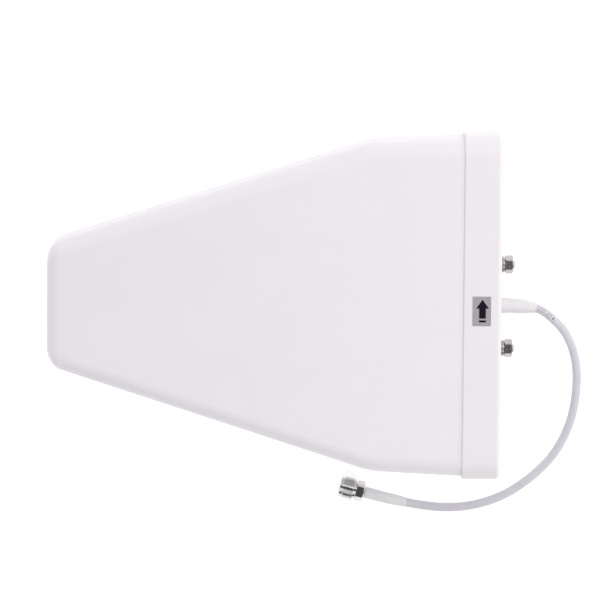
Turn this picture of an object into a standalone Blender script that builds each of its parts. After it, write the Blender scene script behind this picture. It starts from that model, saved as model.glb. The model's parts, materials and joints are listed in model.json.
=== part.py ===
"""Flat log-periodic panel antenna for 698 to 2700 MHz, lying on its broad face.

A tapered plastic radome is closed at its wide end by a cap that carries two 1/4-20 studs and a short coaxial
lead with a type N socket. Inside, two square booms hold twelve dipoles. The antenna looks along -X, its
studs point along +X, and +Y is the side that the polarity arrow names. z = 0 is the surface it lies on.
"""

import math

import bmesh
import bpy
from mathutils import Matrix, Vector

MM = 0.001
GAP = 0.3 * MM  # between neighbouring pieces that touch on the real object

# Overall
BODY_LENGTH = 316.4 * MM
STUD_OUT = 10.2 * MM
TIP_X = -(BODY_LENGTH + STUD_OUT) / 2
REAR_X = TIP_X + BODY_LENGTH
CAP_WIDTH = 241.4 * MM
CAP_DEPTH = 64 * MM
CAP_LENGTH = 26.4 * MM
MID_Z = CAP_DEPTH / 2
SEAM_X = REAR_X - CAP_LENGTH

# Cap
CAP_WALL = 2.4 * MM
CAP_REAR_WALL = 4 * MM
CAP_CORNER_R = 14.5 * MM
CAP_EDGE_R = 3 * MM
INNER_REAR_X = REAR_X - CAP_REAR_WALL

# Radome: half sizes at the tip, at the break in its sides and at the seam
RADOME_WALL = 3 * MM
TIP_HALF_Y = 42.7 * MM
TAPER = 0.3212
BREAK_X = TIP_X + 226 * MM
SEAM_HALF_Y = 118.4 * MM
SEAM_HALF_Z = 31 * MM
TIP_HALF_Z = 29.4 * MM
RADOME_CORNER_R = 12.5 * MM
TIP_CORNER_R = 16 * MM
TIP_EDGE_R = 9 * MM
BREAK_R = 60 * MM
SEAM_GROOVE = 1.4 * MM  # the radome's skin stops this far short of the cap, over the spigot that enters it
SPIGOT_HALF_Y = 118 * MM
SPIGOT_HALF_Z = 29.2 * MM
GASKET = 1.8 * MM
RADOME_END_X = INNER_REAR_X - GASKET - 2 * GAP

# Cap screws
SCREW_Y = 109.3 * MM
SCREW_Z = 22 * MM
BOSS_R = 4.5 * MM
BOSS_LENGTH = 18 * MM
PILOT_R = 1.8 * MM
SCREW_R = 1.45 * MM
SCREW_HEAD_R = 3 * MM
SCREW_RECESS = 2.6 * MM

# 1/4-20 mounting studs and what is on them
STUDS_Y = (28.5 * MM, -30.4 * MM)
STUD_R = 3.12 * MM
STUD_HOLE_R = 3.5 * MM
SPOT_FACE_R = 7.6 * MM
SPOT_FACE = 0.2 * MM
SEAL_POCKET_R = 5.6 * MM
SEAL_POCKET = 1.2 * MM
WASHER_START = REAR_X - 0.05 * MM
WASHER = 1.5 * MM
SPRING_WASHER = 1.6 * MM
NUT = 5.5 * MM
STACK_GAP = 0.15 * MM
NUT_FLATS = 11.1 * MM

# Booms and dipoles
BOOM = 10 * MM
BOOM_WALL = 1.2 * MM
BOOM_SPACE = 4 * MM
UPPER_BOOM_Z = MID_Z + (BOOM + BOOM_SPACE) / 2
LOWER_BOOM_Z = MID_Z - (BOOM + BOOM_SPACE) / 2
BOOM_FRONT_X = TIP_X + 20.5 * MM
BOOM_REAR_X = REAR_X - 34 * MM
DIPOLES = 12
LONGEST_X = REAR_X - 46 * MM
LONGEST_R = 298.6 * MM  # distance of the longest dipole from the apex that the dipoles shrink towards
DIPOLE_RATIO = 0.8657
HALF_ANGLE_TAN = 0.36
ROD_R = 2 * MM
ROD_HOLE_R = 2.3 * MM
ROD_START = 3.3 * MM
CLIP_AFTER = (2, 6)  # the boom clips sit in the gaps behind these dipoles, counted from the longest
CLIP_LENGTH = 8 * MM

# Mounting plate inside the cap
PLATE = 2 * MM
PLATE_X = INNER_REAR_X - GAP - PLATE
PLATE_HALF_Y = 42 * MM
PLATE_HALF_Z = 22 * MM
TONGUE_FRONT_X = REAR_X - 50 * MM
TONGUE_HALF_Y = 4.7 * MM
TONGUE_SCREW_X = REAR_X - 42 * MM
SCREW_SLOT = 3.6 * MM
CABLE_OPENING_R = 8 * MM

# Lead
CABLE_R = 3.05 * MM
CABLE_HOLE_R = 5.3 * MM
BOOT_FLANGE = 1.5 * MM
BOOT_FLANGE_R = 6.4 * MM
BOOT_NECK_R = 4.9 * MM
FEED_R = 2.7 * MM
BOOT_ROUTE = ((153.4, -0.24, 32), (161.2, -0.33, 32), (168.16, -0.83, 31.9), (173.13, -1.33, 31.8))
BOOT_RADII = (5.6, 5.2, 5.05, 4.6, 3.7)
CABLE_ROUTE = (
    (178.29, -2.13, 31.6), (184.73, -5.11, 31.1), (191.43, -10.67, 29.9), (198.29, -18.12, 28.2),
    (203.14, -27.05, 26.2), (206.46, -36.95, 23.4), (208.16, -47.82, 20.2), (208.36, -59.66, 16.6),
    (207.27, -71.97, 13), (204.49, -85.24, 9.4), (199.58, -98, 6.5), (193.05, -109.29, 4.6),
    (184.59, -119.11, 3.6), (173.2, -128.94, 3.35), (159.86, -137.59, 3.35), (145.05, -143.59, 3.35),
    (129.27, -146.93, 3.4), (113.51, -147.33, 3.8), (98.74, -145.59, 4.9), (85.36, -142.89, 6.7),
    (73.15, -139.88, 8), (65.26, -137.87, 8.2), (59.93, -136.54, 8.2),
)
CABLE_STEP = 13 * MM

# Type N socket, measured along its own axis from its open end
JACK_MOUTH = Vector((42.37, -132.11, 8.2)) * MM
JACK_ANGLE = math.radians(-14.1)
THREAD_R = 7.95 * MM
RIM_R = 7.2 * MM
RIM = 1.9 * MM
THREAD_END = 9.8 * MM
NECK_R = 6.65 * MM
NECK_END = 11.5 * MM
STEM_R = 4.9 * MM
STEM_END = 17.5 * MM
BORE_R = 4.2 * MM
BORE_DEPTH = 9.3 * MM
JACK_HEX_FLATS = 12.7 * MM
JACK_HEX_START = 11.8 * MM
JACK_HEX_END = 17.2 * MM
CONTACT_TIP = 5.1 * MM
FERRULE_R = 3.7 * MM
FERRULE_LENGTH = 6 * MM
SHRINK_R = 4.1 * MM
SHRINK_POINTS = 9
SHRINK_STEP = 3.5 * MM

# Label
LABEL_X = REAR_X - 13.8 * MM
LABEL_Y = -1.3 * MM
LABEL_SIZE = (12.6 * MM, 20.4 * MM)
LABEL_RECESS = 0.4 * MM


def clear_scene():
    for thing in list(bpy.data.objects):
        bpy.data.objects.remove(thing, do_unlink=True)


def make_material(name, colour, roughness, metallic=0.0):
    made = bpy.data.materials.new(name)
    made.use_nodes = True
    shader = made.node_tree.nodes["Principled BSDF"]
    shader.inputs["Base Color"].default_value = (*colour, 1)
    shader.inputs["Roughness"].default_value = roughness
    shader.inputs["Metallic"].default_value = metallic
    made.diffuse_color = (*colour, 1)
    return made


def add_piece(name, shape, material, location=(0, 0, 0), turn=0.0):
    """A named object made from a bmesh, turned about the vertical and put in its place."""
    bmesh.ops.recalc_face_normals(shape, faces=shape.faces)
    mesh = bpy.data.meshes.new(name)
    shape.to_mesh(mesh)
    shape.free()
    mesh.shade_smooth()
    mesh.set_sharp_from_angle(angle=math.radians(35))
    mesh.materials.append(material)
    piece = bpy.data.objects.new(name, mesh)
    piece.location = location
    piece.rotation_euler = (0, 0, turn)
    bpy.context.collection.objects.link(piece)
    return piece


def add_tool(name, shape):
    """A shape that only cuts or joins another and isn't part of the antenna."""
    tool = add_piece(name, shape, MATERIALS["tool"])
    tool.hide_render = True
    tool.display_type = "WIRE"
    return tool


def combine(piece, tool, operation):
    boolean = piece.modifiers.new(tool.name, "BOOLEAN")
    boolean.operation = operation
    boolean.solver = "EXACT"
    boolean.object = tool


def loft(loops, ring=False, into=None):
    """A closed body through loops of equally many points: capped at both ends, or joined into a ring."""
    shape = into or bmesh.new()
    rows = [[shape.verts.new(point) for point in loop] for loop in loops]
    pairs = list(zip(rows, rows[1:]))
    if ring:
        pairs.append((rows[-1], rows[0]))
    else:
        shape.faces.new(reversed(rows[0]))
        shape.faces.new(rows[-1])
    for first, second in pairs:
        for i in range(len(first)):
            j = (i + 1) % len(first)
            shape.faces.new((first[i], first[j], second[j], second[i]))
    return shape


def circle_loop(x, radius, sides, y=0.0, z=0.0):
    turns = (2 * math.pi * (i + 0.5) / sides for i in range(sides))
    return [Vector((x, y + radius * math.cos(a), z + radius * math.sin(a))) for a in turns]


def hex_loop(x, flats, sides, corner_r=1.0):
    """A hexagon with a flat at the top, trimmed to a circle of corner_r, as a nut's chamfer does."""
    points = []
    for i in range(sides):
        angle = 2 * math.pi * i / sides
        off = (angle + math.pi / 6) % (math.pi / 3) - math.pi / 6
        radius = min(flats / 2 / math.cos(off), corner_r)
        points.append(Vector((x, -radius * math.sin(angle), radius * math.cos(angle))))
    return points


def turned(profile, sides, ring=False, y=0.0, z=0.0, into=None):
    """A body turned about the X axis through (y, z), from (x, radius) points."""
    return loft([circle_loop(x, r, sides, y, z) for x, r in profile], ring, into)


def rounded_loop(x, half_y, half_z, radius, steps=4):
    """A rounded rectangle across the X axis, centred on the antenna's mid-plane."""
    points = []
    for quarter in range(4):
        side_y = 1 if quarter in (0, 3) else -1
        side_z = 1 if quarter in (0, 1) else -1
        for i in range(steps + 1):
            angle = math.pi / 2 * (quarter + i / steps)
            points.append(Vector((
                x,
                side_y * (half_y - radius) + radius * math.cos(angle),
                MID_Z + side_z * (half_z - radius) + radius * math.sin(angle),
            )))
    return points


def box(low, high, into=None):
    (x0, y0, z0), (x1, y1, z1) = low, high
    loops = [[(x, y0, z0), (x, y1, z0), (x, y1, z1), (x, y0, z1)] for x in (x0, x1)]
    return loft(loops, into=into)


def square_loop(x, half, z):
    return [(x, -half, z - half), (x, half, z - half), (x, half, z + half), (x, -half, z + half)]


def radome_stations(inset, arc_steps=5):
    """Half sizes of the radome along X, as (x, half_y, half_z, corner radius), set in by a wall."""
    lean = math.atan(TAPER)
    break_y = TIP_HALF_Y + TAPER * (BREAK_X - TIP_X)
    rear_slope = (SEAM_HALF_Y - break_y) / (SEAM_X - BREAK_X)
    half_turn = (lean - math.atan(rear_slope)) / 2
    reach = BREAK_R * math.tan(half_turn)

    def taper_y(x):
        return TIP_HALF_Y + TAPER * (x - TIP_X) - inset / math.cos(lean)

    def half_z(x):
        full = SEAM_HALF_Z + (TIP_HALF_Z - SEAM_HALF_Z) * (SEAM_X - x) / (SEAM_X - TIP_X)
        edge = TIP_EDGE_R - inset
        into_edge = edge - (x - TIP_X - inset)
        rounding = edge - math.sqrt(max(0, edge**2 - into_edge**2)) if into_edge > 0 else 0
        return full - inset - rounding

    start = TIP_X + inset
    corner = TIP_CORNER_R - inset
    centre_x = start + corner
    centre_y = taper_y(centre_x) - corner / math.cos(lean)
    stations = []
    for i in range(arc_steps + 1):
        angle = (math.pi / 2 - lean) * i / arc_steps
        stations.append((centre_x - corner * math.cos(angle), centre_y + corner * math.sin(angle)))
    for i in range(5):
        along = -reach + 2 * reach * i / 4
        rise = TAPER * along if along < 0 else rear_slope * along
        sag = (reach - abs(along)) ** 2 * (TAPER - rear_slope) / (4 * reach)
        stations.append((BREAK_X + along, break_y - inset / math.cos(lean) + rise - sag))
    stations.append((SEAM_X - SEAM_GROOVE, SEAM_HALF_Y - inset))
    full_corner = RADOME_CORNER_R - inset
    ease = 12 * MM
    return [
        (x, y, half_z(x), full_corner * (0.7 + 0.3 * min(1, (x - start) / ease)))
        for x, y in stations
    ]


def build_radome():
    outer = [rounded_loop(*station) for station in radome_stations(0)]
    inner = [rounded_loop(*station) for station in radome_stations(RADOME_WALL)]
    spigot = (SPIGOT_HALF_Y, SPIGOT_HALF_Z, RADOME_CORNER_R - 0.3 * MM)
    bore = [size - RADOME_WALL for size in spigot]
    skin_end_x = SEAM_X - SEAM_GROOVE
    outer_end = [rounded_loop(x, *spigot) for x in (RADOME_END_X, skin_end_x)]
    inner_end = [rounded_loop(x, *bore) for x in (skin_end_x + 0.1 * MM, RADOME_END_X)]
    shape = loft(inner + inner_end + outer_end + outer[::-1])
    radome = add_piece("radome_shell", shape, MATERIALS["white_abs"])
    bosses = bmesh.new()
    pilots = bmesh.new()
    boss_x = RADOME_END_X - BOSS_LENGTH
    boss = ((boss_x, BOSS_R), (RADOME_END_X - 0.05 * MM, BOSS_R))
    pilot = ((boss_x + 4 * MM, PILOT_R), (RADOME_END_X + MM, PILOT_R))
    for y, z in screw_places():
        turned(boss, 12, False, y, z, bosses)
        turned(pilot, 10, False, y, z, pilots)
    combine(radome, add_tool("screw_bosses", bosses), "UNION")
    combine(radome, add_tool("pilot_holes", pilots), "DIFFERENCE")


def screw_places():
    return [(side * SCREW_Y, MID_Z + level * SCREW_Z) for side in (1, -1) for level in (1, -1)]


def build_cap():
    half_y = CAP_WIDTH / 2
    half_z = CAP_DEPTH / 2
    loops = []
    for x in (INNER_REAR_X, SEAM_X):
        loops.append(rounded_loop(x, half_y - CAP_WALL, half_z - CAP_WALL, CAP_CORNER_R - CAP_WALL))
    loops.append(rounded_loop(SEAM_X, half_y, half_z, CAP_CORNER_R))
    for i in range(4):
        angle = math.pi / 2 * i / 3
        inset = CAP_EDGE_R * (1 - math.cos(angle))
        x = REAR_X - CAP_EDGE_R + CAP_EDGE_R * math.sin(angle)
        loops.append(rounded_loop(x, half_y - inset, half_z - inset, CAP_CORNER_R - inset))
    cap = add_piece("rear_cap", loft(loops), MATERIALS["white_abs_cap"])
    holes = bmesh.new()
    beyond = REAR_X + 2 * MM
    inside = INNER_REAR_X - 2 * MM
    for y in STUDS_Y:
        profile = ((inside, SEAL_POCKET_R), (INNER_REAR_X + SEAL_POCKET, SEAL_POCKET_R),
                   (INNER_REAR_X + SEAL_POCKET, STUD_HOLE_R), (REAR_X - SPOT_FACE, STUD_HOLE_R),
                   (REAR_X - SPOT_FACE, SPOT_FACE_R), (beyond, SPOT_FACE_R))
        turned(profile, 20, False, y, MID_Z, holes)
    turned(((inside, CABLE_HOLE_R), (beyond, CABLE_HOLE_R)), 20, False, 0, MID_Z, holes)
    for y, z in screw_places():
        profile = ((inside, PILOT_R), (REAR_X - SCREW_RECESS, PILOT_R),
                   (REAR_X - SCREW_RECESS, SCREW_HEAD_R + GAP), (beyond, SCREW_HEAD_R + GAP))
        turned(profile, 12, False, y, z, holes)
    reach = [side / 2 + GAP for side in LABEL_SIZE]
    box((LABEL_X - reach[0], LABEL_Y - reach[1], CAP_DEPTH - LABEL_RECESS),
        (LABEL_X + reach[0], LABEL_Y + reach[1], CAP_DEPTH + MM), holes)
    combine(cap, add_tool("cap_openings", holes), "DIFFERENCE")


def build_gasket():
    """A flat rubber ring between the end of the radome and the rear wall of the cap."""
    start = RADOME_END_X + GAP
    outer = (SPIGOT_HALF_Y - 0.2 * MM, SPIGOT_HALF_Z - 0.2 * MM, RADOME_CORNER_R - 0.5 * MM)
    inner = [size - 2.3 * MM for size in outer]
    loops = [rounded_loop(start, *inner), rounded_loop(start, *outer),
             rounded_loop(start + GASKET, *outer), rounded_loop(start + GASKET, *inner)]
    add_piece("cap_gasket", loft(loops, ring=True), MATERIALS["rubber"])


def build_cap_screws():
    head_x = REAR_X - SCREW_RECESS + 0.1 * MM
    profile = ((-15 * MM, 0.5 * MM), (-13 * MM, SCREW_R), (0, SCREW_R), (0, SCREW_HEAD_R),
               (1.3 * MM, SCREW_HEAD_R), (2.1 * MM, 2 * MM))
    for number, (y, z) in enumerate(screw_places(), 1):
        add_piece(f"cap_screw_{number}", turned(profile, 10), MATERIALS["steel"], (head_x, y, z))


def dipole_x(number):
    return LONGEST_X - LONGEST_R * (1 - DIPOLE_RATIO ** (number - 1))


def build_booms():
    """Two square tubes. Each dipole has one rod on each, and the sides swap from dipole to dipole."""
    half = BOOM / 2
    for name, z, first_side in (("upper", UPPER_BOOM_Z, 1), ("lower", LOWER_BOOM_Z, -1)):
        bore = half - BOOM_WALL
        loops = [square_loop(BOOM_FRONT_X, half, z), square_loop(BOOM_REAR_X, half, z),
                 square_loop(BOOM_REAR_X, bore, z), square_loop(BOOM_FRONT_X, bore, z)]
        boom = add_piece(f"{name}_boom", loft(loops, ring=True), MATERIALS["aluminium"])
        holes = bmesh.new()
        for number in range(1, DIPOLES + 1):
            side = first_side * (-1) ** number
            rod_hole = turned(((-2 * MM, ROD_HOLE_R), (2 * MM, ROD_HOLE_R)), 12)
            bmesh.ops.rotate(rod_hole, verts=rod_hole.verts, matrix=Matrix.Rotation(math.pi / 2, 3, "Z"))
            shift = Vector((dipole_x(number), side * (half - BOOM_WALL / 2), z))
            bmesh.ops.translate(rod_hole, verts=rod_hole.verts, vec=shift)
            merge(rod_hole, holes)
            build_rod(f"dipole_{number:02d}_{name}_rod", number, side, z)
        outward = 1 if name == "upper" else -1
        reach = SCREW_SLOT / 2
        screw_hole = box((TONGUE_SCREW_X - reach, -reach, z + outward * half - 2 * MM),
                         (TONGUE_SCREW_X + reach, reach, z + outward * half + 2 * MM))
        merge(screw_hole, holes)
        combine(boom, add_tool(f"{name}_boom_holes", holes), "DIFFERENCE")


def merge(source, target):
    """Adds one bmesh's faces to another as a body of its own."""
    copies = {vert: target.verts.new(vert.co) for vert in source.verts}
    for face in source.faces:
        target.faces.new([copies[vert] for vert in face.verts])
    source.free()


def build_rod(name, number, side, z):
    half_length = LONGEST_R * DIPOLE_RATIO ** (number - 1) * HALF_ANGLE_TAN
    profile = ((ROD_START, ROD_R), (half_length - 0.5 * MM, ROD_R), (half_length, ROD_R - 0.5 * MM))
    place = (dipole_x(number), 0, z)
    add_piece(name, turned(profile, 12), MATERIALS["aluminium_rod"], place, side * math.pi / 2)


def build_boom_clips():
    """Plastic blocks with two square windows that keep the booms apart."""
    reach = BOOM / 2 + 2.2 * MM
    window = BOOM / 2 + GAP
    for index, number in enumerate(CLIP_AFTER, 1):
        x = (dipole_x(number) + dipole_x(number + 1)) / 2
        low = (x - CLIP_LENGTH / 2, -reach, LOWER_BOOM_Z - reach)
        high = (x + CLIP_LENGTH / 2, reach, UPPER_BOOM_Z + reach)
        clip = add_piece(f"boom_clip_{index}", box(low, high), MATERIALS["nylon"])
        windows = bmesh.new()
        for z in (UPPER_BOOM_Z, LOWER_BOOM_Z):
            box((x - CLIP_LENGTH, -window, z - window), (x + CLIP_LENGTH, window, z + window), windows)
        combine(clip, add_tool(f"clip_windows_{index}", windows), "DIFFERENCE")


def build_mounting_plate():
    """A steel plate behind the cap's rear wall whose two tongues hold the booms."""
    low = (PLATE_X, -PLATE_HALF_Y, MID_Z - PLATE_HALF_Z)
    high = (PLATE_X + PLATE, PLATE_HALF_Y, MID_Z + PLATE_HALF_Z)
    plate = add_piece("mounting_plate", box(low, high), MATERIALS["zinc_steel"])
    tongues = bmesh.new()
    for z in (UPPER_BOOM_Z + BOOM / 2 + GAP, LOWER_BOOM_Z - BOOM / 2 - GAP - PLATE):
        box((TONGUE_FRONT_X, -TONGUE_HALF_Y, z), (PLATE_X + MM, TONGUE_HALF_Y, z + PLATE), tongues)
    combine(plate, add_tool("plate_tongues", tongues), "UNION")
    holes = bmesh.new()
    front, rear = PLATE_X - MM, PLATE_X + PLATE + MM
    for y in STUDS_Y:
        turned(((front, STUD_HOLE_R), (rear, STUD_HOLE_R)), 16, False, y, MID_Z, holes)
    turned(((front, CABLE_OPENING_R), (rear, CABLE_OPENING_R)), 20, False, 0, MID_Z, holes)
    reach = SCREW_SLOT / 2
    for z in (UPPER_BOOM_Z + BOOM / 2, LOWER_BOOM_Z - BOOM / 2 - PLATE):
        box((TONGUE_SCREW_X - reach, -reach, z - MM), (TONGUE_SCREW_X + reach, reach, z + PLATE + MM), holes)
    combine(plate, add_tool("plate_holes", holes), "DIFFERENCE")


def build_boom_screws():
    outer = PLATE + 2 * GAP
    for name, z, outward in (("upper", UPPER_BOOM_Z, 1), ("lower", LOWER_BOOM_Z, -1)):
        shape = turned(((-4 * MM, 1 * MM), (-3.6 * MM, SCREW_R), (0, SCREW_R), (0, 2.8 * MM),
                        (1.2 * MM, 2.8 * MM), (1.9 * MM, 1.9 * MM)), 10)
        tip_up = Matrix.Rotation(-outward * math.pi / 2, 3, "Y")
        bmesh.ops.rotate(shape, verts=shape.verts, matrix=tip_up)
        seat = z + outward * (BOOM / 2 + outer)
        add_piece(f"boom_screw_{name}", shape, MATERIALS["steel"], (TONGUE_SCREW_X, 0, seat))


def build_stud_set(number, y):
    """One quarter-inch bolt with its seal inside the cap and its washers and nut outside."""
    place = (0, y, MID_Z)
    head = 4 * MM
    head_x = PLATE_X - GAP - head
    shank_x = head_x + head
    stud_end = REAR_X + STUD_OUT
    loops = [hex_loop(head_x, NUT_FLATS, 24, 6 * MM), hex_loop(head_x + 0.4 * MM, NUT_FLATS, 24),
             hex_loop(shank_x, NUT_FLATS, 24), circle_like(shank_x, STUD_R),
             circle_like(stud_end - 0.7 * MM, STUD_R), circle_like(stud_end, STUD_R - 0.7 * MM)]
    add_piece(f"mount_stud_{number}", loft(loops), MATERIALS["steel"], place)

    seal_x = INNER_REAR_X + 0.1 * MM
    seal = ring_profile(seal_x, SEAL_POCKET - 0.25 * MM, 3.4 * MM, SEAL_POCKET_R - 0.25 * MM)
    add_piece(f"stud_seal_{number}", turned(seal, 20, True), MATERIALS["rubber"], place)

    washer = ring_profile(WASHER_START, WASHER, 3.45 * MM, 6.35 * MM)
    add_piece(f"flat_washer_{number}", turned(washer, 24, True), MATERIALS["nickel"], place)

    spring_x = WASHER_START + WASHER + STACK_GAP
    add_piece(f"spring_washer_{number}", split_ring(spring_x), MATERIALS["nickel"], place)

    nut_x = spring_x + SPRING_WASHER + STACK_GAP
    chamfer = 0.6 * MM
    bore = STUD_R + 0.3 * MM
    loops = [circle_like(nut_x, bore), hex_loop(nut_x, NUT_FLATS, 24, 5.6 * MM),
             hex_loop(nut_x + chamfer / 2, NUT_FLATS, 24), hex_loop(nut_x + NUT - chamfer, NUT_FLATS, 24),
             hex_loop(nut_x + NUT, NUT_FLATS, 24, 5.4 * MM), circle_like(nut_x + NUT, bore)]
    add_piece(f"hex_nut_{number}", loft(loops, ring=True), MATERIALS["nickel"], place)


def circle_like(x, radius, sides=24):
    """A round loop whose points face those of hex_loop."""
    turns = [2 * math.pi * i / sides for i in range(sides)]
    return [Vector((x, -radius * math.sin(a), radius * math.cos(a))) for a in turns]


def ring_profile(x, thickness, inner_r, outer_r):
    return ((x, inner_r), (x, outer_r), (x + thickness, outer_r), (x + thickness, inner_r))


def split_ring(x):
    """A spring washer: a square bar bent round the stud, with a slit."""
    loops = []
    for i in range(21):
        angle = math.radians(10 + 340 * i / 20)
        across = Vector((0, math.cos(angle), math.sin(angle)))
        corners = ((0, 3.45), (0, 5.7), (1, 5.7), (1, 3.45))
        loops.append([Vector((x + SPRING_WASHER * side, 0, 0)) + across * r * MM for side, r in corners])
    return loft(loops)


def along_curve(points, step):
    """Points every step along a smooth curve through the given points."""
    fine = []
    ends = [points[0] * 2 - points[1]] + list(points) + [points[-1] * 2 - points[-2]]
    for a, b, c, d in zip(ends, ends[1:], ends[2:], ends[3:]):
        for i in range(12):
            t = i / 12
            fine.append(0.5 * (2 * b + (c - a) * t + (2 * a - 5 * b + 4 * c - d) * t**2
                               + (3 * b - a - 3 * c + d) * t**3))
    fine.append(points[-1])
    total = sum((q - p).length for p, q in zip(fine, fine[1:]))
    count = round(total / step)
    spaced = [fine[0]]
    walked = 0.0
    for p, q in zip(fine, fine[1:]):
        length = (q - p).length
        while len(spaced) < count and walked + length >= len(spaced) * total / count:
            spaced.append(p.lerp(q, (len(spaced) * total / count - walked) / length))
        walked += length
    spaced.append(fine[-1])
    return spaced


def swept_loops(points, radii, sides=16):
    """Circles across a path at each of its points."""
    loops = []
    for i, (point, radius) in enumerate(zip(points, radii)):
        along = (points[min(i + 1, len(points) - 1)] - points[max(i - 1, 0)]).normalized()
        across = along.cross(Vector((0, 0, 1))).normalized()
        up = across.cross(along)
        turns = (2 * math.pi * k / sides for k in range(sides))
        loops.append([point + (across * math.cos(a) + up * math.sin(a)) * radius for a in turns])
    return loops


def add_tube(name, points, radius, material):
    """A filled round tube along points."""
    data = bpy.data.curves.new(name, "CURVE")
    data.dimensions = "3D"
    data.bevel_depth = radius
    data.bevel_resolution = 3
    data.use_fill_caps = True
    spline = data.splines.new("POLY")
    spline.points.add(len(points) - 1)
    for spot, point in zip(spline.points, points):
        spot.co = (*point, 1)
    data.materials.append(material)
    bpy.context.collection.objects.link(bpy.data.objects.new(name, data))


def build_lead():
    """The coaxial lead: its run inside the lower boom, the boot in the cap's wall, and the free part."""
    route = [Vector(point) * MM for point in CABLE_ROUTE]
    cable = along_curve(route, CABLE_STEP)
    add_tube("pigtail_cable", cable, CABLE_R, MATERIALS["white_cable"])

    inner_x = INNER_REAR_X - GAP
    flange_x = inner_x - BOOT_FLANGE
    neck = [Vector((x, 0, MID_Z)) for x in (flange_x, inner_x, inner_x, REAR_X + GAP / 2)]
    neck_radii = (BOOT_FLANGE_R, BOOT_FLANGE_R, BOOT_NECK_R, BOOT_NECK_R)
    neck_loops = [loop for place, r in zip(neck, neck_radii)
                  for loop in swept_loops([place, place + Vector((MM, 0, 0))], (r,))]
    leaving = (cable[1] - cable[0]).normalized()
    boot_end = cable[0] - leaving * GAP
    boot = [Vector(point) * MM for point in BOOT_ROUTE] + [boot_end]
    boot_loops = swept_loops(boot + [boot_end + leaving], [r * MM for r in BOOT_RADII])
    add_piece("cable_boot", loft(neck_loops + boot_loops), MATERIALS["white_pvc"])

    near_jack = along_curve(route, SHRINK_STEP)[-SHRINK_POINTS:]
    outer_r = [CABLE_R + MM] + [SHRINK_R] * (SHRINK_POINTS - 1)
    inner_r = [CABLE_R + 0.35 * MM] + [FERRULE_R + 0.25 * MM] * (SHRINK_POINTS - 1)
    shrink = swept_loops(near_jack, outer_r) + swept_loops(near_jack, inner_r)[::-1]
    add_piece("heat_shrink", loft(shrink, ring=True), MATERIALS["white_shrink"])

    start = flange_x - GAP
    feed = [Vector((x, 0, z)) for x, z in (
        (start, MID_Z), (start - 5 * MM, MID_Z - 0.3 * MM),
        ((start + BOOM_REAR_X) / 2, (MID_Z + LOWER_BOOM_Z) / 2),
        (BOOM_REAR_X + 4 * MM, LOWER_BOOM_Z + 0.3 * MM), (BOOM_REAR_X - 3 * MM, LOWER_BOOM_Z),
    )]
    front_end = Vector((BOOM_FRONT_X - 0.3 * MM, 0, LOWER_BOOM_Z))
    add_tube("feed_coax", along_curve(feed, 3 * MM) + [front_end], FEED_R, MATERIALS["black_coax"])


def build_feed_link():
    """The strip that joins the coax's centre conductor to the front of the upper boom."""
    x = BOOM_FRONT_X - 2 * GAP
    low = (x - MM, -2 * MM, LOWER_BOOM_Z - 2 * MM)
    high = (x, 2 * MM, UPPER_BOOM_Z + 4 * MM)
    add_piece("feed_link", box(low, high), MATERIALS["copper"])


def build_front_support():
    """A foam block in the radome's tip, with a pocket for the ends of the booms."""
    front = TIP_X + 4 * MM
    rear = TIP_X + 28 * MM
    block = box((front + 6 * MM, -20 * MM, MID_Z - 24 * MM), (rear, 20 * MM, MID_Z + 24 * MM))
    support = add_piece("front_support", block, MATERIALS["foam"])
    half_z = BOOM + BOOM_SPACE / 2 + 0.5 * MM
    pocket = box((BOOM_FRONT_X - 3 * MM, -BOOM / 2 - 0.5 * MM, MID_Z - half_z),
                 (rear + MM, BOOM / 2 + 0.5 * MM, MID_Z + half_z))
    combine(support, add_tool("support_pocket", pocket), "DIFFERENCE")


def build_jack():
    """The type N socket at the end of the lead, built along its own axis from its open end."""
    flare = 0.5 * MM
    shell = ((0, BORE_R + flare), (0, RIM_R - 0.3 * MM), (0.3 * MM, RIM_R), (RIM, RIM_R),
             (RIM + 0.5 * MM, THREAD_R), (THREAD_END, THREAD_R), (THREAD_END, NECK_R), (NECK_END, NECK_R),
             (NECK_END, STEM_R), (STEM_END, STEM_R), (STEM_END, 3.6 * MM), (BORE_DEPTH, 3.6 * MM),
             (BORE_DEPTH, BORE_R), (flare, BORE_R))
    add_jack_piece("jack_shell", turned(shell, 24, True), MATERIALS["chrome"])

    start, end = JACK_HEX_START, JACK_HEX_END
    bore = STEM_R + 0.2 * MM
    loops = [circle_like(start, bore), hex_loop(start, JACK_HEX_FLATS, 24, 6.6 * MM),
             hex_loop(start + 0.5 * MM, JACK_HEX_FLATS, 24), hex_loop(end - 0.5 * MM, JACK_HEX_FLATS, 24),
             hex_loop(end, JACK_HEX_FLATS, 24, 6.6 * MM), circle_like(end, bore)]
    add_jack_piece("jack_back_nut", loft(loops, ring=True), MATERIALS["chrome"])

    insulator = ((BORE_DEPTH + 0.2 * MM, 1.75 * MM), (BORE_DEPTH + 0.2 * MM, 3.35 * MM),
                 (STEM_END - MM, 3.35 * MM), (STEM_END - MM, 1.75 * MM))
    add_jack_piece("jack_insulator", turned(insulator, 16, True), MATERIALS["ptfe"])

    contact = ((CONTACT_TIP, 1.25 * MM), (CONTACT_TIP + 0.4 * MM, 1.5 * MM), (STEM_END + 0.2 * MM, 1.5 * MM))
    add_jack_piece("jack_contact", turned(contact, 12), MATERIALS["gold"])

    ferrule = ring_profile(STEM_END + 0.5 * MM, FERRULE_LENGTH, CABLE_R + 0.35 * MM, FERRULE_R)
    add_jack_piece("crimp_ferrule", turned(ferrule, 16, True), MATERIALS["chrome"])


def add_jack_piece(name, shape, material):
    add_piece(name, shape, material, JACK_MOUTH, JACK_ANGLE)


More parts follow.
